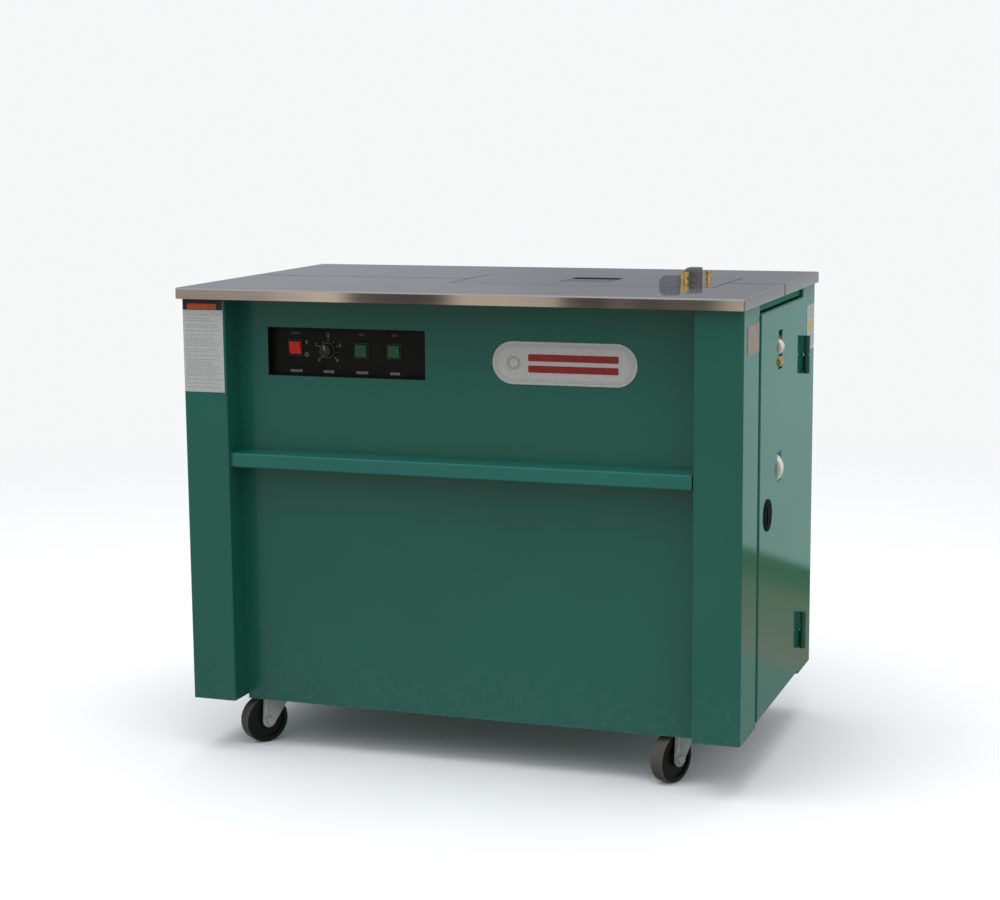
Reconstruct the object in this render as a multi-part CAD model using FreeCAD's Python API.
"""Semi automatic strapping machine with a high table, in millimetres.

X runs along the table (right when facing the front), Y runs from the front to the
back and Z is up. The origin is on the floor, under the centre of the table.
"""

import FreeCAD, Part
import math
import os

V = FreeCAD.Vector
X_AXIS = V(1, 0, 0)
Y_AXIS = V(0, 1, 0)
Z_AXIS = V(0, 0, 1)

# ---------------------------------------------------------------- driving dimensions
TABLE_HALF_X = 447.5
TABLE_HALF_Y = 278.0
TABLE_TOP = 740.0
TABLE_SHEET = 2.0
APRON_HEIGHT = 17.4
TABLE_EDGE_R = 3.0
TABLE_SEAM_R = 1.5
TABLE_GAP = 1.5

BODY_HALF_X = 443.5
BODY_HALF_Y = 264.0
SHEET = 1.5
FOLD_R = 3.0
POST_FACE = 73.0
POST_TOP = 733.0
POST_BOTTOM = 85.0
REVEAL_DEPTH = 20.0
BAY_FRONT = -158.0
BAY_BACK = 164.75

PANEL_Y = -216.0
PANEL_BOTTOM = 77.0
PANEL_TOP = 733.0
RAIL_FRONT_Y = -256.0
RAIL_BOTTOM = 459.0
RAIL_TOP = 482.0
RAIL_SPLIT = (RAIL_BOTTOM + RAIL_TOP) / 2
RAIL_RIGHT_GAP = 3.5
HEM_INSET = 110.0
HEM_DEPTH = 14.0

BASE_Z = 103.0
BASE_THICK = 2.5
SHELF_Z = 594.0
SHELF_THICK = 4.0
SHELF_X = (-57.0, 340.0)

FRAME_TOP = 737.6
FRAME_HEIGHT = 34.0
FRAME_LEG = 25.0
FRAME_THICK = 2.5
FRAME_HALF_X = 423.0
FRAME_FRONT = -214.0
FRAME_BACK = 260.5
HEADER_X = BODY_HALF_X - 6.0
HEADER_BOTTOM = 710.0

REAR_PANEL_HALF_X = BODY_HALF_X - 30
REAR_PANEL_Y = BODY_HALF_Y - 2 * SHEET - 0.2
REAR_PANEL_Z = (80.0, 722.0)
LOUVRE_BANKS = (-200.0, 200.0)
LOUVRE_ROWS = 8
LOUVRE_Z = 560.0
LOUVRE_PITCH = 14.0
LOUVRE_HALF_X = 70.0
LOUVRE_HEIGHT = 5.0

GLAND_X = -330.0
GLAND_Z = 150.0
GLAND_R = 8.0
GLAND_HEX_R = 12.0
GLAND_HEX_LONG = 5.0
GLAND_DOME_LONG = 8.0
GLAND_THROAT_R = 4.5
GLAND_NUT_R = 13.0

LABEL_THICK = 0.4
PLATE_THICK = 0.6
RATING_PLATE = (-240.0, -164.0, 655.0, 697.0)
REAR_NOTICE = (200.0, 259.0, 616.0, 690.0)
FRONT_NOTICE = (-442.0, -373.6, 577.5, 722.2)
BADGE_X = 162.5
BADGE_Z = 632.6
BADGE_HALF_X = 112.5
BADGE_HALF_Z = 32.3
BADGE_THICK = 1.6

CONTROL_X0 = -321.3
CONTROL_X1 = -58.6
CONTROL_Z0 = 601.0
CONTROL_Z1 = 676.8
CONTROL_DEPTH = 14.0
CONTROL_WALL = 1.5
CONTROL_FACE_Y = PANEL_Y + CONTROL_DEPTH

ROCKER_X = -280.0
ROCKER_Z = 643.9
ROCKER_SIZE = (21.0, 24.3)
ROCKER_PIN_R = 1.2
DIAL_X = -225.0
DIAL_Z = 641.0
DIAL_R = 13.0
DIAL_SPINDLE_R = 3.9
DIAL_FLUTES = 12
BUTTON_XS = {"feed_button": -168.5, "reset_button": -114.4}
BUTTON_Z = 642.1
BUTTON_SIZE = 22.0
BEZEL_PROUD = 1.5
BEZEL_WALL = 0.8
BEZEL_DEPTH = 16.0

LID_AXIS_Y = 270.0
LID_AXIS_Z = 727.0
LID_PIN_R = 2.5
LID_LUG_R = 4.4
LID_LUG_X = 400.0

DOOR_Z0 = 92.0
DOOR_Z1 = 708.0
DOOR_GAP = 1.25
DOOR_DEPTH = 18.0
DOOR_FACE = BODY_HALF_X + 2.0
HINGE_X = 450.4
HINGE_Y = 166.0
HINGE_R = 5.2
HINGE_PIN_R = 3.0
HINGE_KNUCKLE = 28.5
HINGE_GAP = 4.0
HINGE_SHOULDER_R = 4.0
HINGE_BOTTOMS = (129.7, 584.0)
HINGE_FOOT = (1.5, 9.5)

ROLLER_WIDTH = 23.0
ROLLER_AXLE_R = 3.0
RUNNING_FIT = 0.06
STRAP_ROLLERS = {
    "lower_strap_roller": (424.0, 457.5, 27.0),
    "upper_strap_roller": (437.3, 645.5, 12.8),
    "brass_strap_roller": (440.8, 623.2, 9.2),
}
ROLLER_Y = -19.5
STRAP_SLOTS = ((438.5, 484.5), (612.5, 672.0))
SLOT_HALF_Y = 14.0
CHEEK_X = 414.0
CHEEK_THICK = 2.0
PULL_Y = -100.5
PULL_Z = 399.5
PULL_R = 24.5
PULL_FLANGE = 2.4
PULL_CUP_R = PULL_R - 4.2
PULL_CUP_DEPTH = 16.0
CATCH_SIZE = (14.0, 16.0)
CATCH_Z = (380.0, 410.0)

COVER_X0 = -64.0
COVER_X1 = 356.5
COVER_Y0 = -90.0
COVER_Y1 = 110.0
COVER_GAP = 2.0
COVER_THICK = 4.0
STAY_R = 6.0
SLIDE_WINDOW = (95.0, -32.0, 175.0, 62.0)
SLIDE_HALF_Y = 31.0
SLIDE_THICK = 6.5
STRAP_HALF_Y = 8.0
STRAP_DEEP = 1.2
FRONT_GUIDE = (268.0, -70.0, 295.0, -46.0, 15.0, 6.0)
REAR_GUIDE = (281.0, 32.0, 304.0, 58.0, 20.0, 4.0)
THUMB_SCREWS = ((284.5, -1.0, 12.5), (287.0, 16.0, 15.0), (311.5, 68.0, 13.5))
THUMB_R = 5.6
KNURLS = 18

HEAD_X0 = 40.0
HEAD_X1 = 320.0
HEAD_HALF_Y = 52.0
HEAD_WALL = 6.0
HEAD_Z0 = SHELF_Z + SHELF_THICK
HEAD_Z1 = 728.0
HEAD_MID_X = 240.0
CAM_Z = 645.0
CAM_SHAFT_R = 8.0
CAM_R = 20.0
CAM_LIFT = 7.0
CAM_WIDTH = 12.0
CAM_XS = (70.0, 108.0, 160.0, 205.0)
PRESS_X = 135.0
PRESS_SIZE = 30.0
PRESS_Z = (678.0, 700.0, 724.0)
HEATER_X = 190.0
HEATER_Y = 32.0
HEATER_Z = 706.0
HEATER_HUB_R = 8.0
HEATER_PIN_R = 4.0
FEED_X = 280.0
FEED_Z = 650.0
FEED_R = 25.0
PINCH_R = 12.0
STRAP_GAP = 0.6
FEED_AXLE_R = 5.0
FEED_DRUM_HALF = 10.0
GEAR_LONG = 100.0
GEAR_HALF_Y = 42.0
GEAR_TOP = 695.0
MOTOR_X = HEAD_X0 - 52
MOTOR_Z = 647.0
MOTOR_R = 44.0
MOTOR_SHIELD_R = 48.0
MOTOR_RIBS = 24
POOL_BOX = (-412.0, 440.0, -72.0, 690.0)
POOL_HALF_Y = 13.0
POOL_BAR_XS = (-400.0, -110.0)
POOL_BAR_Z = 434.0
ELECTRIC_BOX = (-400.0, -185.0, -250.0, -65.0)
ELECTRIC_HEIGHT = 190.0
ELECTRIC_WALL = 2.0

REEL_X = 215.0
REEL_Z = 318.0
REEL_R = 190.0
REEL_CORE_R = 100.0
REEL_HALF_WIDTH = 98.0
REEL_AXLE_R = 10.0
CRADLE_Y = 118.0
CRADLE_THICK = 6.0
CRADLE_HALF_X = 32.0
REEL_DISC = 4.0
REEL_HOLES = ((143.0, 30.0), (55.0, 20.0))

CASTER_X = 336.0
CASTER_Y = 157.0
CASTER_OFFSET = 38.0
CASTER_TURNS = {"front_left": -35.0, "front_right": -22.0, "rear_left": -33.0, "rear_right": -28.0}
WHEEL_R = 37.5
WHEEL_WIDTH = 25.0
CASTER_AXLE_R = 4.0
CASTER_PLATE = (92.0, 66.0, 3.0)
CASTER_RACE = 5.0
CASTER_CROWN_R = 24.0
CASTER_STUD_R = 6.0
FORK_SHEET = 3.0
FORK_FRONT = -CASTER_OFFSET - 10.0
FORK_BACK = 19.0
FORK_TIP_R = 11.5
FORK_BEAD_R = 2.5


# ---------------------------------------------------------------- helpers
def box(x0, y0, z0, x1, y1, z1):
    """Box from its lowest to its highest corner."""
    return Part.makeBox(x1 - x0, y1 - y0, z1 - z0, V(x0, y0, z0))


def rod(radius, start, end):
    """Cylinder between two points."""
    a = V(*start)
    b = V(*end)
    return Part.makeCylinder(radius, (b - a).Length, a, b - a)


def ring(outer, inner, start, end):
    """Tube between two points."""
    return rod(outer, start, end).cut(rod(inner, start, end))


def upright_edges(shape, spots):
    """Edges of a prism that stand along Z at the given (x, y) spots."""
    found = []
    for edge in shape.Edges:
        a = edge.Vertexes[0].Point
        b = edge.Vertexes[-1].Point
        if abs(a.x - b.x) + abs(a.y - b.y) > 0.01:
            continue
        for x, y in spots:
            if abs(a.x - x) + abs(a.y - y) < 0.01:
                found.append(edge)
    return found


def folded_sheet(points, z0, z1, thick=SHEET, fold=FOLD_R):
    """Sheet of even thickness folded along a line of (x, y) points, thickness to the left."""
    count = len(points)
    offset = []
    for i in range(count):
        normals = []
        for a, b in ((i - 1, i), (i, i + 1)):
            if a < 0 or b >= count:
                continue
            dx = points[b][0] - points[a][0]
            dy = points[b][1] - points[a][1]
            size = math.hypot(dx, dy)
            normals.append((-dy / size, dx / size))
        if len(normals) == 1:
            nx, ny = normals[0]
        else:
            nx = normals[0][0] + normals[1][0]
            ny = normals[0][1] + normals[1][1]
        offset.append((points[i][0] + nx * thick, points[i][1] + ny * thick))
    outline = list(points) + offset[::-1]
    corners = [V(x, y, z0) for x, y in outline]
    prism = Part.Face(Part.makePolygon(corners + corners[:1])).extrude(V(0, 0, z1 - z0))
    prism = prism.makeFillet(fold, upright_edges(prism, points[1:-1]))
    return prism.makeFillet(fold - thick, upright_edges(prism, offset[1:-1]))


def mirrored_x(shape):
    """Copy of a shape mirrored across the middle of the table."""
    return shape.mirror(V(0, 0, 0), X_AXIS)


def mirrored_y(shape):
    """Copy of a shape mirrored from the front to the back."""
    return shape.mirror(V(0, 0, 0), Y_AXIS)


def rounded_plate(x0, z0, x1, z1, y0, y1, radius):
    """Upright plate across Y with rounded corners."""
    plate = box(x0, y0, z0, x1, y1, z1)
    corners = []
    for edge in plate.Edges:
        a = edge.Vertexes[0].Point
        b = edge.Vertexes[-1].Point
        if abs(a.y - b.y) > 0.01:
            corners.append(edge)
    return plate.makeFillet(radius, corners)


def screw_head(x, y, z, direction, radius=4.5, height=2.4):
    """Low domed screw head that stands on a surface."""
    base = V(x, y, z)
    head = Part.makeCylinder(radius, height, base, direction)
    top = [e for e in head.Edges if e.Curve.TypeId == "Part::GeomCircle"]
    far = max(top, key=lambda e: (e.Curve.Center - base).Length)
    return head.makeFillet(height * 0.8, [far])


def save(name, *solids):
    """Write one node; several separate pieces make a group."""
    shape = solids[0] if len(solids) == 1 else Part.makeCompound(list(solids))
    shape.exportStep("parts/" + name + ".step")
    print(name, len(shape.Solids), round(shape.Volume / 1000.0, 1), shape.isValid())


# ---------------------------------------------------------------- cabinet
def front_post(side):
    """Folded front corner post: door reveal, side flange, front face, return to the panel."""
    outline = [
        (-BODY_HALF_X + REVEAL_DEPTH, BAY_FRONT),
        (-BODY_HALF_X, BAY_FRONT),
        (-BODY_HALF_X, -BODY_HALF_Y),
        (-BODY_HALF_X + POST_FACE, -BODY_HALF_Y),
        (-BODY_HALF_X + POST_FACE, PANEL_Y),
    ]
    post = folded_sheet(outline, POST_BOTTOM, POST_TOP)
    return post if side < 0 else mirrored_x(post)


def rear_post(side):
    """Folded rear corner post: rear face, side flange and door reveal."""
    outline = [
        (-BODY_HALF_X + POST_FACE, BODY_HALF_Y),
        (-BODY_HALF_X, BODY_HALF_Y),
        (-BODY_HALF_X, BAY_BACK),
        (-BODY_HALF_X + REVEAL_DEPTH, BAY_BACK),
    ]
    post = folded_sheet(outline, POST_BOTTOM, POST_TOP)
    return post if side < 0 else mirrored_x(post)


def angle_rail(length):
    """Steel angle along X from the origin: upright leg in front, flat leg on top."""
    upright = box(0, 0, -FRAME_HEIGHT, length, FRAME_THICK, 0)
    flat = box(0, 0, -FRAME_THICK, length, FRAME_LEG, 0)
    return upright.fuse(flat).removeSplitter()


def bay_header():
    """Folded strip that closes the right side bay between the door and the table."""
    outer = box(FRAME_HALF_X, BAY_FRONT, HEADER_BOTTOM, HEADER_X, BAY_BACK, POST_TOP)
    under = box(FRAME_HALF_X - 1, BAY_FRONT - 1, HEADER_BOTTOM - 1, HEADER_X - SHEET, BAY_BACK + 1, POST_TOP - SHEET)
    return outer.cut(under)


def top_frame():
    """Four welded angles that carry the table, and the headers of the side bays."""
    length = 2 * FRAME_HALF_X
    front = angle_rail(length)
    front.translate(V(-FRAME_HALF_X, FRAME_FRONT, FRAME_TOP))
    back = angle_rail(length)
    back.rotate(V(0, 0, 0), Z_AXIS, 180)
    back.translate(V(FRAME_HALF_X, FRAME_BACK, FRAME_TOP))
    run = FRAME_BACK - FRAME_FRONT - 2 * FRAME_LEG
    left = angle_rail(run)
    left.rotate(V(0, 0, 0), Z_AXIS, -90)
    left.translate(V(-FRAME_HALF_X, FRAME_BACK - FRAME_LEG, FRAME_TOP))
    right = angle_rail(run)
    right.rotate(V(0, 0, 0), Z_AXIS, 90)
    right.translate(V(FRAME_HALF_X, FRAME_FRONT + FRAME_LEG, FRAME_TOP))
    header = bay_header()
    return [front, back, left, right, header, mirrored_x(header)]


def base_plate():
    """Floor of the cabinet, notched at both sides for the door and the side panel."""
    half_x = BODY_HALF_X - SHEET - 0.5
    inner_x = BODY_HALF_X - REVEAL_DEPTH - 0.5
    plate = box(-half_x, PANEL_Y + SHEET, BASE_Z, half_x, BODY_HALF_Y - 2 * SHEET - 0.5, BASE_Z + BASE_THICK)
    for side in (-1, 1):
        x0, x1 = sorted((side * inner_x, side * (half_x + 1)))
        notch = box(x0, BAY_FRONT - 2, BASE_Z - 1, x1, BAY_BACK + 2, BASE_Z + BASE_THICK + 1)
        plate = plate.cut(notch)
    return plate


def front_upper_panel():
    """Recessed upper front panel with the window for the controls."""
    half = BODY_HALF_X - POST_FACE
    panel = box(-half, PANEL_Y, RAIL_SPLIT + 0.2, half, PANEL_Y + SHEET, PANEL_TOP)
    window = box(CONTROL_X0, PANEL_Y - 1, CONTROL_Z0, CONTROL_X1, PANEL_Y + SHEET + 1, CONTROL_Z1)
    return panel.cut(window)


def front_lower_panel():
    """Recessed lower front panel, folded back under the base plate."""
    half = BODY_HALF_X - POST_FACE
    face = box(-half, PANEL_Y, PANEL_BOTTOM, half, PANEL_Y + SHEET, RAIL_SPLIT - 0.2)
    hem_x = half - HEM_INSET
    hem = box(-hem_x, PANEL_Y, PANEL_BOTTOM, hem_x, PANEL_Y + HEM_DEPTH, PANEL_BOTTOM + SHEET)
    return face.fuse(hem).removeSplitter()


def front_rail():
    """Channel across the front between the posts, open to the back."""
    half = BODY_HALF_X - POST_FACE
    right = half - RAIL_RIGHT_GAP
    outer = box(-half, RAIL_FRONT_Y, RAIL_BOTTOM, right, PANEL_Y, RAIL_TOP)
    edges = []
    for edge in outer.Edges:
        a = edge.Vertexes[0].Point
        b = edge.Vertexes[-1].Point
        if abs(a.x - b.x) > 1 and abs(a.y - RAIL_FRONT_Y) < 0.01:
            edges.append(edge)
    outer = outer.makeFillet(FOLD_R, edges)
    hollow = box(-half - 1, RAIL_FRONT_Y + SHEET, RAIL_BOTTOM + SHEET,
                 right + 1, PANEL_Y + 1, RAIL_TOP - SHEET)
    return outer.cut(hollow)


def side_pan(face):
    """Folded pan that fills the side bay, on the right side, open to the inside."""
    y0 = BAY_FRONT + DOOR_GAP
    y1 = BAY_BACK - DOOR_GAP
    inside = face - DOOR_DEPTH
    outer = box(inside, y0, DOOR_Z0, face, y1, DOOR_Z1)
    edges = [e for e in outer.Edges if abs(e.CenterOfMass.x - face) < 0.01]
    outer = outer.makeFillet(FOLD_R - 0.5, edges)
    hollow = box(inside - 1, y0 + SHEET, DOOR_Z0 + SHEET, face - SHEET, y1 - SHEET, DOOR_Z1 - SHEET)
    return outer.cut(hollow)


def rear_panel():
    """Removable rear panel with two banks of cooling slots and a cable hole."""
    half = REAR_PANEL_HALF_X
    y0 = REAR_PANEL_Y
    y1 = y0 + SHEET
    panel = box(-half, y0, REAR_PANEL_Z[0], half, y1, REAR_PANEL_Z[1])
    for bank_x in LOUVRE_BANKS:
        for row in range(LOUVRE_ROWS):
            z = LOUVRE_Z + row * LOUVRE_PITCH
            slot = rounded_plate(bank_x - LOUVRE_HALF_X, z, bank_x + LOUVRE_HALF_X, z + LOUVRE_HEIGHT,
                                 y0 - 1, y1 + 1, LOUVRE_HEIGHT / 2 - 0.1)
            panel = panel.cut(slot)
    return panel.cut(rod(GLAND_R, (GLAND_X, y0 - 1, GLAND_Z), (GLAND_X, y1 + 1, GLAND_Z)))


def cable_gland():
    """Nylon gland with a hexagonal flange, its lock nut and an open throat."""
    y0 = REAR_PANEL_Y + SHEET
    y1 = y0 + GLAND_HEX_LONG
    corners = []
    for i in range(7):
        angle = math.radians(60 * i)
        corners.append(V(GLAND_X + GLAND_HEX_R * math.cos(angle), y0,
                         GLAND_Z + GLAND_HEX_R * math.sin(angle)))
    hexagon = Part.Face(Part.makePolygon(corners)).extrude(V(0, GLAND_HEX_LONG, 0))
    barrel = rod(GLAND_R - 0.3, (GLAND_X, y0 - 12, GLAND_Z), (GLAND_X, y0, GLAND_Z))
    dome = Part.makeCone(GLAND_HEX_R - 2, GLAND_THROAT_R + 2.5, GLAND_DOME_LONG,
                         V(GLAND_X, y1, GLAND_Z), Y_AXIS)
    throat = rod(GLAND_THROAT_R, (GLAND_X, y0 - 20, GLAND_Z), (GLAND_X, y0 + 20, GLAND_Z))
    nut = ring(GLAND_NUT_R, GLAND_R - 0.2, (GLAND_X, REAR_PANEL_Y - 6, GLAND_Z),
               (GLAND_X, REAR_PANEL_Y, GLAND_Z))
    return [hexagon.fuse(barrel).fuse(dome).cut(throat).removeSplitter(), nut]


def panel_screws():
    """Screws of the rear panel and of the left side panel."""
    heads = []
    rear_face = REAR_PANEL_Y + SHEET
    for z in (110, 410, 700):
        for x in (-400, 400):
            heads.append(screw_head(x, BODY_HALF_Y, z, Y_AXIS))
    for z in (110, 700):
        heads.append(screw_head(0, rear_face, z, Y_AXIS))
    for z in (DOOR_Z0 + 18, (DOOR_Z0 + DOOR_Z1) / 2, DOOR_Z1 - 18):
        for y in (BAY_FRONT + 18, BAY_BACK - 18):
            heads.append(screw_head(-BODY_HALF_X, y, z, -X_AXIS))
    return heads


def labels():
    """Labels: tall notice on the left front post, rating plate and notice on the right side."""
    x0, x1, z0, z1 = FRONT_NOTICE
    tall = box(x0, -BODY_HALF_Y - LABEL_THICK, z0, x1, -BODY_HALF_Y, z1)
    pieces = [tall]
    for (y0, y1, z0, z1), thick in ((RATING_PLATE, PLATE_THICK), (REAR_NOTICE, LABEL_THICK)):
        pieces.append(box(BODY_HALF_X, y0, z0, BODY_HALF_X + thick, y1, z1))
    return pieces


def badge():
    """Long plate with round ends on the upper front panel."""
    y0 = PANEL_Y - BADGE_THICK
    plate = rounded_plate(BADGE_X - BADGE_HALF_X, BADGE_Z - BADGE_HALF_Z, BADGE_X + BADGE_HALF_X,
                          BADGE_Z + BADGE_HALF_Z, y0, PANEL_Y, BADGE_HALF_Z - 0.05)
    rim = [e for e in plate.Edges if abs(e.CenterOfMass.y - y0) < 0.01]
    return plate.makeChamfer(0.6, rim)


# ---------------------------------------------------------------- controls
def control_box():
    """Deep black pan behind the window, with holes for the controls."""
    outer = box(CONTROL_X0 + 0.1, PANEL_Y, CONTROL_Z0 + 0.1, CONTROL_X1 - 0.1,
                CONTROL_FACE_Y + CONTROL_WALL, CONTROL_Z1 - 0.1)
    hollow = box(CONTROL_X0 + CONTROL_WALL, PANEL_Y - 1, CONTROL_Z0 + CONTROL_WALL,
                 CONTROL_X1 - CONTROL_WALL, CONTROL_FACE_Y, CONTROL_Z1 - CONTROL_WALL)
    pan = outer.cut(hollow)
    y0 = CONTROL_FACE_Y - 1
    y1 = CONTROL_FACE_Y + CONTROL_WALL + 1
    width, height = ROCKER_SIZE
    pan = pan.cut(box(ROCKER_X - width / 2, y0, ROCKER_Z - height / 2,
                      ROCKER_X + width / 2, y1, ROCKER_Z + height / 2))
    pan = pan.cut(rod(DIAL_SPINDLE_R + 0.1, (DIAL_X, y0, DIAL_Z), (DIAL_X, y1, DIAL_Z)))
    half = BUTTON_SIZE / 2
    for x in BUTTON_XS.values():
        pan = pan.cut(box(x - half, y0, BUTTON_Z - half, x + half, y1, BUTTON_Z + half))
    return pan


def rocker_pivot(radius, reach):
    """Round bar along the rocker's tilting axis."""
    half = ROCKER_SIZE[0] / 2 - reach
    y = CONTROL_FACE_Y + 1
    return rod(radius, (ROCKER_X - half, y, ROCKER_Z), (ROCKER_X + half, y, ROCKER_Z))


def power_rocker():
    """Rocker with two sloping faces that tips about its pivot pins."""
    width = ROCKER_SIZE[0] / 2 - 1.4
    height = ROCKER_SIZE[1] / 2 - 2.2
    y = CONTROL_FACE_Y
    profile = [V(0, y + 7, -height + 2), V(0, y - 1.5, -height), V(0, y - 3.2, 0), V(0, y - 5.5, height),
               V(0, y + 7, height - 2)]
    face = Part.Face(Part.makePolygon(profile + profile[:1]))
    rocker = face.extrude(V(2 * width, 0, 0))
    rocker.translate(V(ROCKER_X - width, 0, ROCKER_Z))
    return rocker.fuse(rocker_pivot(ROCKER_PIN_R, 0.5))


def switch_bezels():
    """Black frames of the rocker and the two push buttons, each with its body behind."""
    frames = []
    spots = [(ROCKER_X, ROCKER_Z, ROCKER_SIZE[0], ROCKER_SIZE[1])]
    for x in BUTTON_XS.values():
        spots.append((x, BUTTON_Z, BUTTON_SIZE, BUTTON_SIZE))
    y0 = CONTROL_FACE_Y - BEZEL_PROUD
    y1 = CONTROL_FACE_Y + BEZEL_DEPTH
    for x, z, width, height in spots:
        half_x = width / 2 - 0.2
        half_z = height / 2 - 0.2
        in_x = half_x - BEZEL_WALL
        in_z = half_z - BEZEL_WALL
        lip_x = half_x + 2 * BEZEL_WALL
        lip_z = half_z + 2 * BEZEL_WALL
        body = box(x - half_x, y0, z - half_z, x + half_x, y1, z + half_z)
        hollow = box(x - in_x, y0 - 1, z - in_z, x + in_x, y1 - BEZEL_PROUD, z + in_z)
        lip = box(x - lip_x, y0, z - lip_z, x + lip_x, CONTROL_FACE_Y, z + lip_z)
        frames.append(body.fuse(lip).cut(hollow).removeSplitter())
    frames[0] = frames[0].cut(rocker_pivot(ROCKER_PIN_R + RUNNING_FIT, 0.2))
    return frames


def timer_dial():
    """Fluted knob with a skirt and its spindle."""
    y = CONTROL_FACE_Y
    grip_y = y - 3.5
    skirt = rod(DIAL_R, (DIAL_X, grip_y, DIAL_Z), (DIAL_X, y - 0.5, DIAL_Z))
    grip = Part.makeCone(DIAL_R - 2.5, DIAL_R - 4, 10, V(DIAL_X, grip_y, DIAL_Z), -Y_AXIS)
    spindle = rod(DIAL_SPINDLE_R, (DIAL_X, y - 1, DIAL_Z), (DIAL_X, y + 12, DIAL_Z))
    knob = skirt.fuse(grip).fuse(spindle)
    for i in range(DIAL_FLUTES):
        angle = math.radians(360 / DIAL_FLUTES * (i + 0.5))
        x = DIAL_X + (DIAL_R - 2.2) * math.cos(angle)
        z = DIAL_Z + (DIAL_R - 2.2) * math.sin(angle)
        knob = knob.cut(rod(1.3, (x, y - 20, z), (x, grip_y, z)))
    return knob


def push_button(x):
    """Square push button with a rounded cap."""
    half = BUTTON_SIZE / 2 - 1.4
    front_y = CONTROL_FACE_Y - 5.5
    cap = box(x - half, front_y, BUTTON_Z - half, x + half, CONTROL_FACE_Y + 8, BUTTON_Z + half)
    front = [e for e in cap.Edges if abs(e.CenterOfMass.y - front_y) < 0.01]
    return cap.makeFillet(1.2, front)


# ---------------------------------------------------------------- table
def table_half():
    """Front half of the table: a folded stainless tray with its hinge lugs."""
    z0 = TABLE_TOP - APRON_HEIGHT
    tray = box(-TABLE_HALF_X, -TABLE_HALF_Y, z0, TABLE_HALF_X, -TABLE_GAP / 2, TABLE_TOP)
    rims = []
    for edge in tray.Edges:
        spot = edge.CenterOfMass
        on_top = abs(spot.z - TABLE_TOP) < 0.01
        outer = abs(abs(spot.x) - TABLE_HALF_X) < 0.01 or abs(spot.y + TABLE_HALF_Y) < 0.01
        corner = abs(abs(spot.x) - TABLE_HALF_X) < 0.01 and abs(spot.y + TABLE_HALF_Y) < 0.01
        if (on_top and outer) or corner:
            rims.append(edge)
    tray = tray.makeFillet(TABLE_EDGE_R, rims)
    seam = [e for e in tray.Edges
            if abs(e.CenterOfMass.y + TABLE_GAP / 2) < 0.01 and abs(e.CenterOfMass.z - TABLE_TOP) < 0.01]
    tray = tray.makeFillet(TABLE_SEAM_R, seam)
    inner_x = TABLE_HALF_X - TABLE_SHEET
    inner_y = -TABLE_HALF_Y + TABLE_SHEET
    tray = tray.cut(box(-inner_x, inner_y, z0 - 1, inner_x, 10, TABLE_TOP - TABLE_SHEET))
    return tray


def hinge_lug(x0, x1, top):
    """Lug round the hinge pin at the front edge, reaching up to the given height."""
    eye = rod(LID_LUG_R, (x0, -LID_AXIS_Y, LID_AXIS_Z), (x1, -LID_AXIS_Y, LID_AXIS_Z))
    arm = box(x0, -LID_AXIS_Y - LID_LUG_R, LID_AXIS_Z, x1, -LID_AXIS_Y + LID_LUG_R, top)
    bore = rod(LID_PIN_R + RUNNING_FIT, (x0 - 1, -LID_AXIS_Y, LID_AXIS_Z),
               (x1 + 1, -LID_AXIS_Y, LID_AXIS_Z))
    return eye.fuse(arm).cut(bore)


def with_lugs(tray):
    """Tray with a lug under each end."""
    for side in (-1, 1):
        x0, x1 = sorted((side * (LID_LUG_X + 1), side * (LID_LUG_X + 13)))
        tray = tray.fuse(hinge_lug(x0, x1, TABLE_TOP - TABLE_SHEET))
    return tray.removeSplitter()


def front_table():
    """Front table half, notched round the cover of the sealing head."""
    notch = box(COVER_X0 - COVER_GAP, COVER_Y0 - COVER_GAP, HEAD_Z1 - 30,
                COVER_X1 + COVER_GAP, 10, TABLE_TOP + 20)
    return with_lugs(table_half()).cut(notch)


def rear_table():
    """Rear table half, notched round the cover of the sealing head."""
    notch = box(COVER_X0 - COVER_GAP, -10, HEAD_Z1 - 30,
                COVER_X1 + COVER_GAP, COVER_Y1 + COVER_GAP, TABLE_TOP + 20)
    return mirrored_y(with_lugs(table_half())).cut(notch)


def table_hinges():
    """Hinge brackets on the posts with their pins, front and back."""
    pieces = []
    for side in (-1, 1):
        x0, x1 = sorted((side * (LID_LUG_X - 12), side * LID_LUG_X))
        eye = rod(LID_LUG_R, (x0, -LID_AXIS_Y, LID_AXIS_Z), (x1, -LID_AXIS_Y, LID_AXIS_Z))
        foot = box(x0, -LID_AXIS_Y, LID_AXIS_Z - LID_LUG_R, x1, -BODY_HALF_Y, LID_AXIS_Z + LID_LUG_R)
        end = side * (LID_LUG_X + 14)
        start = x0 if side > 0 else x1
        pin = rod(LID_PIN_R, (start, -LID_AXIS_Y, LID_AXIS_Z), (end, -LID_AXIS_Y, LID_AXIS_Z))
        bracket = eye.fuse(foot).fuse(pin).removeSplitter()
        pieces.append(bracket)
        pieces.append(mirrored_y(bracket))
    return pieces


# ---------------------------------------------------------------- door and its rollers
def side_door():
    """Right side door: folded pan with two strap slots and the hole of the pull."""
    door = side_pan(DOOR_FACE)
    x0 = DOOR_FACE - FOLD_R
    x1 = DOOR_FACE + 1
    for z0, z1 in STRAP_SLOTS:
        door = door.cut(box(x0, ROLLER_Y - SLOT_HALF_Y, z0, x1, ROLLER_Y + SLOT_HALF_Y, z1))
    return door.cut(rod(PULL_CUP_R + 0.2, (x0, PULL_Y, PULL_Z), (x1, PULL_Y, PULL_Z)))


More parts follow.
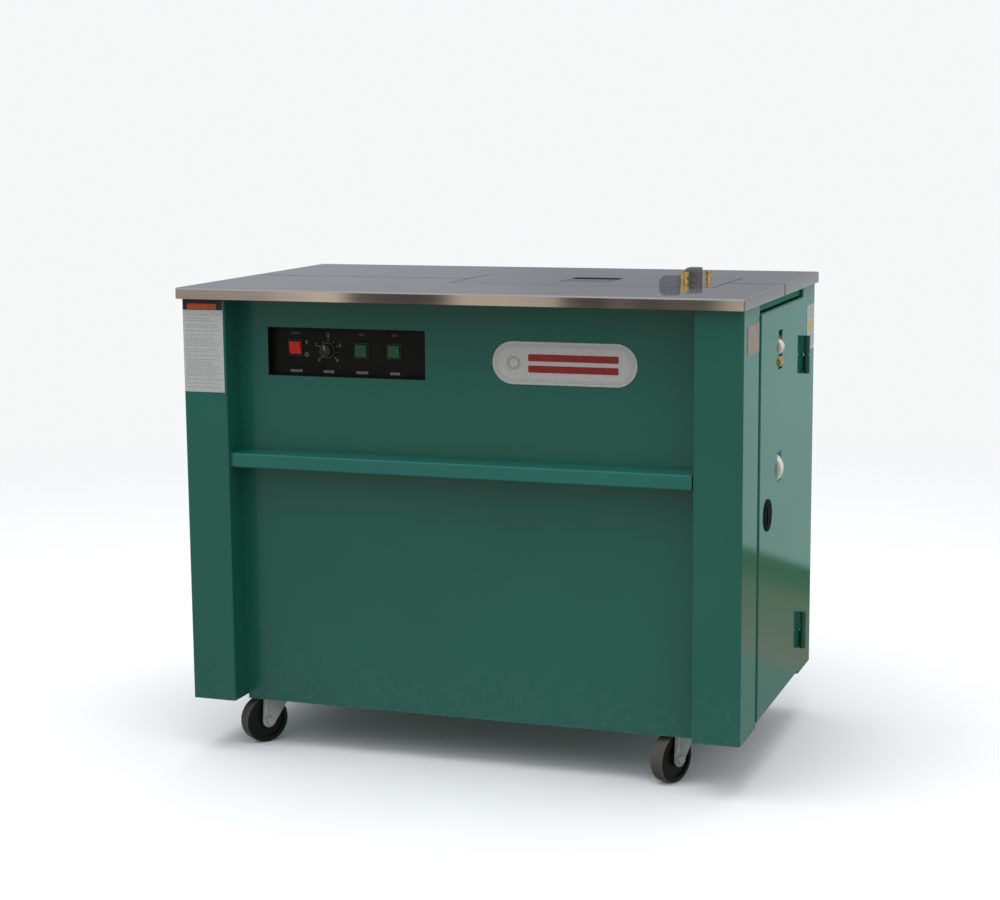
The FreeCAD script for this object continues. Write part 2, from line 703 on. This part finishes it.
def hinge_barrels(upper):
    """Weld-on hinge knuckles: lower ones carry the pin, upper ones turn on it."""
    pieces = []
    for bottom in HINGE_BOTTOMS:
        middle = bottom + HINGE_KNUCKLE
        z0 = middle + HINGE_GAP if upper else bottom
        z1 = z0 + HINGE_KNUCKLE
        barrel = rod(HINGE_R, (HINGE_X, HINGE_Y, z0), (HINGE_X, HINGE_Y, z1))
        side = -1 if upper else 1
        face = DOOR_FACE if upper else BODY_HALF_X
        y0, y1 = sorted((HINGE_Y + side * HINGE_FOOT[0], HINGE_Y + side * HINGE_FOOT[1]))
        foot = box(face, y0, z0 + 2, HINGE_X - 2, y1, z1 - 2)
        knuckle = barrel.fuse(foot)
        if upper:
            bore = rod(HINGE_PIN_R + RUNNING_FIT, (HINGE_X, HINGE_Y, z0 - 1), (HINGE_X, HINGE_Y, z1 - 4))
            knuckle = knuckle.cut(bore)
        else:
            tip = z1 + HINGE_KNUCKLE - 5
            seat = z1 + HINGE_GAP - 0.3
            knuckle = knuckle.fuse(rod(HINGE_SHOULDER_R, (HINGE_X, HINGE_Y, z1 - 1), (HINGE_X, HINGE_Y, seat)))
            knuckle = knuckle.fuse(rod(HINGE_PIN_R, (HINGE_X, HINGE_Y, z1 - 1), (HINGE_X, HINGE_Y, tip)))
        pieces.append(knuckle.removeSplitter())
    return pieces


def roller_brackets():
    """Angle cheeks inside the door that hold the roller axles."""
    pieces = []
    back = DOOR_FACE - SHEET
    near = SLOT_HALF_Y + 0.6
    for z0, z1 in STRAP_SLOTS:
        for side in (-1, 1):
            y0, y1 = sorted((ROLLER_Y + side * near, ROLLER_Y + side * (near + CHEEK_THICK)))
            cheek = box(CHEEK_X, y0, z0, back, y1, z1)
            y0, y1 = sorted((ROLLER_Y + side * near, ROLLER_Y + side * (near + 14)))
            foot = box(back - CHEEK_THICK, y0, z0, back, y1, z1)
            piece = cheek.fuse(foot)
            for x, z, _ in STRAP_ROLLERS.values():
                if z0 < z < z1:
                    hole = rod(ROLLER_AXLE_R + 0.03, (x, ROLLER_Y - 30, z), (x, ROLLER_Y + 30, z))
                    piece = piece.cut(hole)
            pieces.append(piece.removeSplitter())
    return pieces


def roller_axles():
    """Axles of the strap rollers, held by the cheeks."""
    reach = SLOT_HALF_Y + CHEEK_THICK + 1.4
    pieces = []
    for x, z, _ in STRAP_ROLLERS.values():
        pieces.append(rod(ROLLER_AXLE_R, (x, ROLLER_Y - reach, z), (x, ROLLER_Y + reach, z)))
    return pieces


def strap_roller(name):
    """Smooth roller with rounded rims and a bore for its axle."""
    x, z, radius = STRAP_ROLLERS[name]
    y0 = ROLLER_Y - ROLLER_WIDTH / 2
    y1 = ROLLER_Y + ROLLER_WIDTH / 2
    roller = rod(radius, (x, y0, z), (x, y1, z))
    rims = [e for e in roller.Edges if e.Curve.TypeId == "Part::GeomCircle"]
    roller = roller.makeFillet(1.5, rims)
    return roller.cut(rod(ROLLER_AXLE_R + RUNNING_FIT, (x, y0 - 1, z), (x, y1 + 1, z)))


def flush_pull():
    """Round black cup pull let into the door, with a finger lip over part of the cup."""
    face = DOOR_FACE
    front = face + PULL_FLANGE
    flange = rod(PULL_R, (face, PULL_Y, PULL_Z), (front, PULL_Y, PULL_Z))
    rim = [e for e in flange.Edges if abs(e.CenterOfMass.x - front) < 0.01]
    flange = flange.makeFillet(PULL_FLANGE * 2 / 3, rim)
    cup = rod(PULL_CUP_R, (face - PULL_CUP_DEPTH, PULL_Y, PULL_Z), (face, PULL_Y, PULL_Z))
    hollow_r = PULL_CUP_R - 2
    hollow = rod(hollow_r, (face + 2 - PULL_CUP_DEPTH, PULL_Y, PULL_Z), (front + 1, PULL_Y, PULL_Z))
    lip = box(face - 0.2, PULL_Y - 4, PULL_Z - PULL_R, front - 0.4, PULL_Y + PULL_R, PULL_Z + PULL_R)
    lip = lip.common(rod(hollow_r + 0.2, (face - 1, PULL_Y, PULL_Z), (front, PULL_Y, PULL_Z)))
    return flange.fuse(cup).cut(hollow).fuse(lip).removeSplitter()


def magnet_catch():
    """Catch block behind the door's free edge, on the reveal of the front post."""
    x1 = DOOR_FACE - DOOR_DEPTH - 0.8
    return box(x1 - CATCH_SIZE[0], BAY_FRONT, CATCH_Z[0], x1, BAY_FRONT + CATCH_SIZE[1], CATCH_Z[1])


# ---------------------------------------------------------------- sealing head
def head_cover_plate():
    """Flush steel cover over the head, with the opening of the slide plate."""
    z0 = TABLE_TOP - COVER_THICK
    x0, y0, x1, y1 = SLIDE_WINDOW
    plate = box(COVER_X0, COVER_Y0, z0, COVER_X1, COVER_Y1, TABLE_TOP)
    plate = plate.cut(box(x0, y0, z0 - 1, x1, y1, TABLE_TOP + 1))
    return plate.cut(box(x1, -STRAP_HALF_Y, z0 - 1, COVER_X1 + 1, STRAP_HALF_Y, z0 + STRAP_DEEP))


def slide_plate():
    """Hardened plate that the strap is sealed against and that slides back to free it."""
    z0 = TABLE_TOP - SLIDE_THICK
    x0 = SLIDE_WINDOW[0] + 1
    x1 = SLIDE_WINDOW[2] - 1
    plate = box(x0, -SLIDE_HALF_Y, z0, x1, SLIDE_HALF_Y, TABLE_TOP)
    return plate.cut(box(x0 - 1, -STRAP_HALF_Y, z0 - 1, x1 + 1, STRAP_HALF_Y, z0 + STRAP_DEEP))


def head_frame():
    """Open steel box that carries the shafts, with a middle wall."""
    outer = box(HEAD_X0, -HEAD_HALF_Y, HEAD_Z0, HEAD_X1, HEAD_HALF_Y, HEAD_Z1)
    inner_y = HEAD_HALF_Y - HEAD_WALL
    left = box(HEAD_X0 + HEAD_WALL, -inner_y, HEAD_Z0 + HEAD_WALL, HEAD_MID_X, inner_y, HEAD_Z1 + 1)
    right = box(HEAD_MID_X + HEAD_WALL, -inner_y, HEAD_Z0 + HEAD_WALL, HEAD_X1 - HEAD_WALL, inner_y, HEAD_Z1 + 1)
    frame = outer.cut(left).cut(right)
    bore = CAM_SHAFT_R + RUNNING_FIT
    frame = frame.cut(rod(bore, (HEAD_X0 - 1, 0, CAM_Z), (HEAD_MID_X + HEAD_WALL + 1, 0, CAM_Z)))
    for z in (FEED_Z, FEED_Z + FEED_R + PINCH_R + STRAP_GAP):
        hole = rod(FEED_AXLE_R + RUNNING_FIT, (FEED_X, -HEAD_HALF_Y - 1, z), (FEED_X, HEAD_HALF_Y + 1, z))
        frame = frame.cut(hole)
    window = box(HEAD_X1 - HEAD_WALL - 1, -14, FEED_Z + FEED_R - 12, HEAD_X1 + 1, 14, FEED_Z + FEED_R + 14)
    return frame.cut(window)


def head_shelf():
    """Shelf across the cabinet under the head, with folded edges."""
    x0, x1 = SHELF_X
    y0 = FRAME_FRONT + FRAME_THICK
    y1 = FRAME_BACK - FRAME_THICK
    top = box(x0, y0, SHELF_Z, x1, y1, SHELF_Z + SHELF_THICK)
    for y in (y0, y1 - SHELF_THICK):
        leg = box(x0, y, SHELF_Z, x1, y + SHELF_THICK, FRAME_TOP - FRAME_THICK)
        top = top.fuse(leg)
    return top.removeSplitter()


def cover_stays():
    """Posts that hold the cover plate above the shelf."""
    pieces = []
    front = COVER_Y0 + 12
    back = COVER_Y1 - 12
    right = COVER_X1 - 24
    for x, y in ((COVER_X0 + 14, front), (right, front), (HEAD_X0 + 20, back), (right, back)):
        pieces.append(rod(STAY_R, (x, y, SHELF_Z + SHELF_THICK), (x, y, TABLE_TOP - COVER_THICK)))
    return pieces


def guide_block(x0, y0, x1, y1, height, slope):
    """Steel strap guide block on the cover plate, sloped where the strap comes in."""
    top = TABLE_TOP + height
    block = box(x0, y0, TABLE_TOP, x1, y1, top)
    ramp = [e for e in block.Edges
            if abs(e.CenterOfMass.z - top) < 0.01 and abs(e.CenterOfMass.x - x0) < 0.01]
    return block.makeChamfer(slope, ramp)


def thumb_screws():
    """Knurled brass thumb screws beside the guide blocks."""
    pieces = []
    for x, y, height in THUMB_SCREWS:
        top = TABLE_TOP + height
        stem = rod(3.0, (x, y, TABLE_TOP), (x, y, top - 6))
        head = rod(THUMB_R, (x, y, top - 7), (x, y, top))
        collar = rod(THUMB_R - 0.6, (x, y, TABLE_TOP), (x, y, TABLE_TOP + 2.5))
        for i in range(KNURLS):
            angle = math.radians(360 / KNURLS * i)
            cx = x + (THUMB_R + 0.2) * math.cos(angle)
            cy = y + (THUMB_R + 0.2) * math.sin(angle)
            head = head.cut(rod(0.45, (cx, cy, TABLE_TOP), (cx, cy, top + 10)))
        pieces.append(stem.fuse(head).fuse(collar).removeSplitter())
    return pieces


def cam_shaft():
    """Shaft along X with four eccentric cams and its coupling end."""
    shaft = rod(CAM_SHAFT_R, (HEAD_X0 - 22, 0, CAM_Z), (HEAD_MID_X + HEAD_WALL + 4, 0, CAM_Z))
    for i, x in enumerate(CAM_XS):
        angle = math.radians(90 * i)
        cy = CAM_LIFT * math.cos(angle)
        cz = CAM_Z + CAM_LIFT * math.sin(angle)
        shaft = shaft.fuse(rod(CAM_R, (x, cy, cz), (x + CAM_WIDTH, cy, cz)))
    return shaft.removeSplitter()


def press_block():
    """Block that rises to press the strap ends together, with its stem."""
    half = PRESS_SIZE / 2
    foot, seat, top = PRESS_Z
    block = box(PRESS_X - half, -half, seat, PRESS_X + half, half, top)
    stem = rod(6, (PRESS_X, 0, foot), (PRESS_X, 0, seat + 0.5))
    return block.fuse(stem).removeSplitter()


def heater_arm():
    """Arm with the flat heating tongue, turning on an upright post."""
    hub = ring(HEATER_HUB_R, HEATER_PIN_R + RUNNING_FIT, (HEATER_X, HEATER_Y, HEATER_Z),
               (HEATER_X, HEATER_Y, HEATER_Z + 12))
    arm = box(HEATER_X - 6, HEATER_Y - 38, HEATER_Z + 2, HEATER_X + 6, HEATER_Y - 7, HEATER_Z + 8)
    tongue = box(HEATER_X - 18, HEATER_Y - 46, HEATER_Z + 8, HEATER_X + 6, HEATER_Y - 26, HEATER_Z + 10)
    return hub.fuse(arm).fuse(tongue).removeSplitter()


def heater_post():
    """Pin of the heater arm with its foot on the back wall of the head."""
    pin = rod(HEATER_PIN_R, (HEATER_X, HEATER_Y, HEATER_Z - 4), (HEATER_X, HEATER_Y, HEATER_Z + 16))
    foot = box(HEATER_X - 8, HEATER_Y - 8, HEATER_Z - 12,
               HEATER_X + 8, HEAD_HALF_Y - HEAD_WALL, HEATER_Z - 4)
    return pin.fuse(foot).removeSplitter()


def feed_roller(z, radius, reach):
    """Feed roller on its own axle, turning in the walls of the head."""
    axle = rod(FEED_AXLE_R, (FEED_X, -HEAD_HALF_Y - 2, z), (FEED_X, HEAD_HALF_Y + reach, z))
    drum = rod(radius, (FEED_X, -FEED_DRUM_HALF, z), (FEED_X, FEED_DRUM_HALF, z))
    return axle.fuse(drum).removeSplitter()


def gear_reducer():
    """Cast gear case bolted to the left end of the head."""
    x0 = HEAD_X0 - GEAR_LONG
    case = box(x0, -GEAR_HALF_Y, HEAD_Z0, HEAD_X0, GEAR_HALF_Y, GEAR_TOP)
    upright = [e for e in case.Edges if abs(e.Vertexes[0].Z - e.Vertexes[-1].Z) > 50]
    case = case.makeFillet(8, upright)
    for z in (620, 640, 660, 680):
        case = case.fuse(box(x0 - 4, -30, z, x0 + 2, 30, z + 4))
    bore = rod(CAM_SHAFT_R + RUNNING_FIT, (HEAD_X0 - 24, 0, CAM_Z), (HEAD_X0 + 1, 0, CAM_Z))
    return case.cut(bore).removeSplitter()


def motor():
    """Motor behind the gear case: ribbed barrel, end shields and terminal box."""
    x = MOTOR_X
    z = MOTOR_Z
    y0 = GEAR_HALF_Y
    barrel = rod(MOTOR_R, (x, y0 + 8, z), (x, y0 + 136, z))
    for i in range(MOTOR_RIBS):
        rib = box(x + MOTOR_R - 1, y0 + 18, z - 1.2, x + MOTOR_SHIELD_R, y0 + 126, z + 1.2)
        rib.rotate(V(x, y0, z), Y_AXIS, 360 / MOTOR_RIBS * i)
        barrel = barrel.fuse(rib)
    for a, b, radius in ((0, 10, MOTOR_SHIELD_R), (134, 144, MOTOR_SHIELD_R), (144, 164, MOTOR_R + 2)):
        barrel = barrel.fuse(rod(radius, (x, y0 + a, z), (x, y0 + b, z)))
    terminal = box(x - 24, y0 + 48, z + MOTOR_R - 4, x + 24, y0 + 108, z + MOTOR_R + 18)
    return barrel.fuse(terminal).removeSplitter()


def strap_pool_box():
    """Thin upright box where the loose strap gathers, open at the top, on two cross bars."""
    x0, z0, x1, z1 = POOL_BOX
    outer = box(x0, -POOL_HALF_Y, z0, x1, POOL_HALF_Y, z1)
    inner_y = POOL_HALF_Y - SHEET
    pieces = [outer.cut(box(x0 + SHEET, -inner_y, z0 + SHEET, x1 - SHEET, inner_y, z1 + 10))]
    for x in POOL_BAR_XS:
        pieces.append(box(x, PANEL_Y + SHEET, POOL_BAR_Z, x + 20, REAR_PANEL_Y, z0))
    return pieces


def electric_box():
    """Cover of the transformer and the control board, closed below by the base plate."""
    z0 = BASE_Z + BASE_THICK
    x0, y0, x1, y1 = ELECTRIC_BOX
    wall = ELECTRIC_WALL
    top = z0 + ELECTRIC_HEIGHT
    case = box(x0, y0, z0, x1, y1, top)
    lip = box(x0 - wall, y0 - wall, top - 40, x1 + wall, y1 + wall, top - 38)
    hollow = box(x0 + wall, y0 + wall, z0 - 1, x1 - wall, y1 - wall, top - wall)
    return case.fuse(lip).cut(hollow).removeSplitter()


def reel_cradle():
    """Two stands with open tops that the reel's axle drops into."""
    pieces = []
    z0 = BASE_Z + BASE_THICK
    x0 = REEL_X - CRADLE_HALF_X
    x1 = REEL_X + CRADLE_HALF_X
    bore = REEL_AXLE_R + RUNNING_FIT
    for side in (-1, 1):
        y0, y1 = sorted((side * CRADLE_Y, side * (CRADLE_Y + CRADLE_THICK)))
        fy0, fy1 = sorted((side * CRADLE_Y, side * (CRADLE_Y + 30)))
        stand = box(x0, y0, z0, x1, y1, REEL_Z + 12).fuse(box(x0, fy0, z0, x1, fy1, z0 + 4))
        stand = stand.cut(rod(bore, (REEL_X, y0 - 1, REEL_Z), (REEL_X, y1 + 1, REEL_Z)))
        stand = stand.cut(box(REEL_X - bore, y0 - 1, REEL_Z, REEL_X + bore, y1 + 1, REEL_Z + 20))
        pieces.append(stand.removeSplitter())
    return pieces


def strap_reel():
    """Strap dispenser: core, two holed discs and the axle, in one turning piece."""
    half = REEL_HALF_WIDTH
    core = ring(REEL_CORE_R, REEL_CORE_R - 4, (REEL_X, -half, REEL_Z), (REEL_X, half, REEL_Z))
    axle = rod(REEL_AXLE_R, (REEL_X, -CRADLE_Y - 12, REEL_Z), (REEL_X, CRADLE_Y + 12, REEL_Z))
    reel = core.fuse(axle)
    for y in (-half - REEL_DISC, half):
        disc = rod(REEL_R, (REEL_X, y, REEL_Z), (REEL_X, y + REEL_DISC, REEL_Z))
        for i in range(6):
            angle = math.radians(60 * i + 30)
            for distance, radius in REEL_HOLES:
                x = REEL_X + distance * math.cos(angle)
                z = REEL_Z + distance * math.sin(angle)
                disc = disc.cut(rod(radius, (x, y - 1, z), (x, y + REEL_DISC + 1, z)))
        reel = reel.fuse(disc)
    return reel.removeSplitter()


# ---------------------------------------------------------------- casters
def caster_spots():
    """Swivel axis of each caster by name."""
    spots = {}
    for name in CASTER_TURNS:
        x = -CASTER_X if name.endswith("left") else CASTER_X
        y = -CASTER_Y if name.startswith("front") else CASTER_Y
        spots[name] = (x, y)
    return spots


def caster_plates():
    """Mounting plates with four bolts each and the swivel stud."""
    width, depth, thick = CASTER_PLATE
    under = BASE_Z - thick
    pieces = []
    for x, y in caster_spots().values():
        piece = box(x - width / 2, y - depth / 2, under, x + width / 2, y + depth / 2, BASE_Z)
        for radius, z0, z1 in ((21, under - CASTER_RACE, under), (CASTER_STUD_R, under - 14, under - 4),
                               (11, under - 19, under - 13)):
            piece = piece.fuse(rod(radius, (x, y, z0), (x, y, z1)))
        for dx in (-36, 36):
            for dy in (-24, 24):
                piece = piece.fuse(rod(5.5, (x + dx, y + dy, under - 4), (x + dx, y + dy, under)))
        pieces.append(piece.removeSplitter())
    return pieces


def caster_fork(name):
    """Pressed fork that swivels under the plate, with its axle bolt."""
    x, y = caster_spots()[name]
    top = BASE_Z - CASTER_PLATE[2] - CASTER_RACE - 0.3
    hub = (-CASTER_OFFSET, WHEEL_R)
    half = WHEEL_WIDTH / 2 + 2
    out = half + FORK_SHEET
    fork = rod(CASTER_CROWN_R, (0, 0, top - CASTER_RACE), (0, 0, top))
    fork = fork.fuse(box(-out, FORK_FRONT + 2, top - CASTER_RACE, out, FORK_BACK, top))
    stud_hole = CASTER_STUD_R + 0.4
    fork = fork.cut(rod(stud_hole, (0, 0, top - CASTER_RACE - 1), (0, 0, top + 1)))
    for side in (-1, 1):
        x0, x1 = sorted((side * half, side * out))
        profile = [V(x0, FORK_BACK, top), V(x0, FORK_FRONT + 2, top), V(x0, hub[0] - FORK_TIP_R, hub[1]),
                   V(x0, hub[0] + FORK_TIP_R - 1, hub[1] - 4)]
        leg = Part.Face(Part.makePolygon(profile + profile[:1])).extrude(V(x1 - x0, 0, 0))
        leg = leg.fuse(rod(FORK_TIP_R, (x0, hub[0], hub[1]), (x1, hub[0], hub[1])))
        bead = rod(FORK_BEAD_R, (side * out, FORK_FRONT + 5, hub[1] + 14),
                   (side * out, FORK_FRONT + 6, top - 2))
        fork = fork.fuse(leg).fuse(bead)
        fork = fork.fuse(rod(6.5, (side * out, hub[0], hub[1]), (side * (out + 4.5), hub[0], hub[1])))
    fork = fork.fuse(rod(CASTER_AXLE_R, (-out - 1, hub[0], hub[1]), (out + 1, hub[0], hub[1])))
    fork = fork.removeSplitter()
    fork.rotate(V(0, 0, 0), Z_AXIS, CASTER_TURNS[name])
    fork.translate(V(x, y, 0))
    return fork


def caster_wheel(name):
    """Wheel with a crowned tread, dished sides and a bore for the axle."""
    x, y = caster_spots()[name]
    half = WHEEL_WIDTH / 2
    centre = -CASTER_OFFSET
    wheel = rod(WHEEL_R, (-half, centre, WHEEL_R), (half, centre, WHEEL_R))
    rims = [e for e in wheel.Edges if e.Curve.TypeId == "Part::GeomCircle"]
    wheel = wheel.makeFillet(4, rims)
    for side in (-1, 1):
        dish = ring(29, FORK_TIP_R + 0.5, (side * (half - 3), centre, WHEEL_R),
                    (side * (half + 1), centre, WHEEL_R))
        wheel = wheel.cut(dish)
    bore = rod(CASTER_AXLE_R + RUNNING_FIT, (-half - 1, centre, WHEEL_R), (half + 1, centre, WHEEL_R))
    wheel = wheel.cut(bore)
    wheel.rotate(V(0, 0, 0), Z_AXIS, CASTER_TURNS[name])
    wheel.translate(V(x, y, 0))
    return wheel


# ---------------------------------------------------------------- write every node
def main():
    os.makedirs("parts", exist_ok=True)
    save("front_post_left", front_post(-1))
    save("front_post_right", front_post(1))
    save("rear_post_left", rear_post(-1))
    save("rear_post_right", rear_post(1))
    save("top_frame", *top_frame())
    save("base_plate", base_plate())
    save("front_upper_panel", front_upper_panel())
    save("front_lower_panel", front_lower_panel())
    save("front_rail", front_rail())
    save("left_side_panel", mirrored_x(side_pan(BODY_HALF_X)))
    save("rear_panel", rear_panel())
    save("cable_gland", *cable_gland())
    save("panel_screws", *panel_screws())
    save("labels", *labels())
    save("badge", badge())
    save("control_box", control_box())
    save("switch_bezels", *switch_bezels())
    save("power_rocker", power_rocker())
    save("timer_dial", timer_dial())
    for name, x in BUTTON_XS.items():
        save(name, push_button(x))
    save("front_table", front_table())
    save("rear_table", rear_table())
    save("table_hinges", *table_hinges())
    save("side_door", side_door())
    save("door_hinge_lower", *hinge_barrels(False))
    save("door_hinge_upper", *hinge_barrels(True))
    save("roller_brackets", *roller_brackets())
    save("roller_axles", *roller_axles())
    for name in STRAP_ROLLERS:
        save(name, strap_roller(name))
    save("flush_pull", flush_pull())
    save("magnet_catch", magnet_catch())
    save("head_cover_plate", head_cover_plate())
    save("slide_plate", slide_plate())
    save("head_frame", head_frame(), heater_post())
    save("head_shelf", head_shelf(), *cover_stays())
    save("guide_blocks", guide_block(*FRONT_GUIDE), guide_block(*REAR_GUIDE))
    save("thumb_screws", *thumb_screws())
    save("cam_shaft", cam_shaft())
    save("press_block", press_block())
    save("heater_arm", heater_arm())
    save("drive_feed_roller", feed_roller(FEED_Z, FEED_R, 6))
    save("pinch_feed_roller", feed_roller(FEED_Z + FEED_R + PINCH_R + STRAP_GAP, PINCH_R, 2))
    save("gear_reducer", gear_reducer())
    save("motor", motor())
    save("strap_pool_box", *strap_pool_box())
    save("electric_box", electric_box())
    save("reel_cradle", *reel_cradle())
    save("strap_reel", strap_reel())
    save("caster_plates", *caster_plates())
    for name in CASTER_TURNS:
        save("caster_fork_" + name, caster_fork(name))
        save("caster_wheel_" + name, caster_wheel(name))


main()
